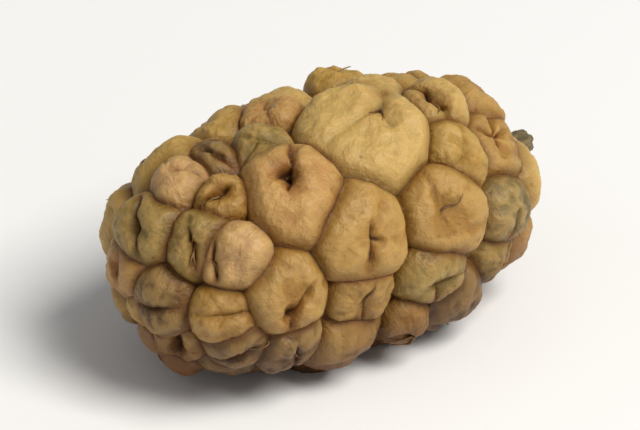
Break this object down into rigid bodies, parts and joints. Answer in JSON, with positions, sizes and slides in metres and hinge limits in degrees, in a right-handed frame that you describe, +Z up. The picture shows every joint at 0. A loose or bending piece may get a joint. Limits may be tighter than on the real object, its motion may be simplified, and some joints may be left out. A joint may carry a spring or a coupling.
{
  "type": "dried mulberry",
  "caption": "Dried white mulberry: plump oval fruit of fused, pressed-together, shrunken drupelets with a short snapped stalk, lying on its side.",
  "frame": {"origin": "middle of the footprint on the surface that the fruit lies on", "axes": "+X along the fruit towards its stalk, +Z up, -Y towards the side that shows best in the picture"},
  "size_m": [0.0198, 0.011, 0.0098],
  "materials": {
    "flesh": "dried fruit skin: satin, slightly translucent, golden tan with cream, pinkish and olive drupelets and dark brown creases",
    "stalk": "dry, matt, olive-brown, finely ribbed along its length"
  },
  "bodies": {
    "root": {"fruit": "flesh", "stalk": "stalk"}
  },
  "joints": []
}
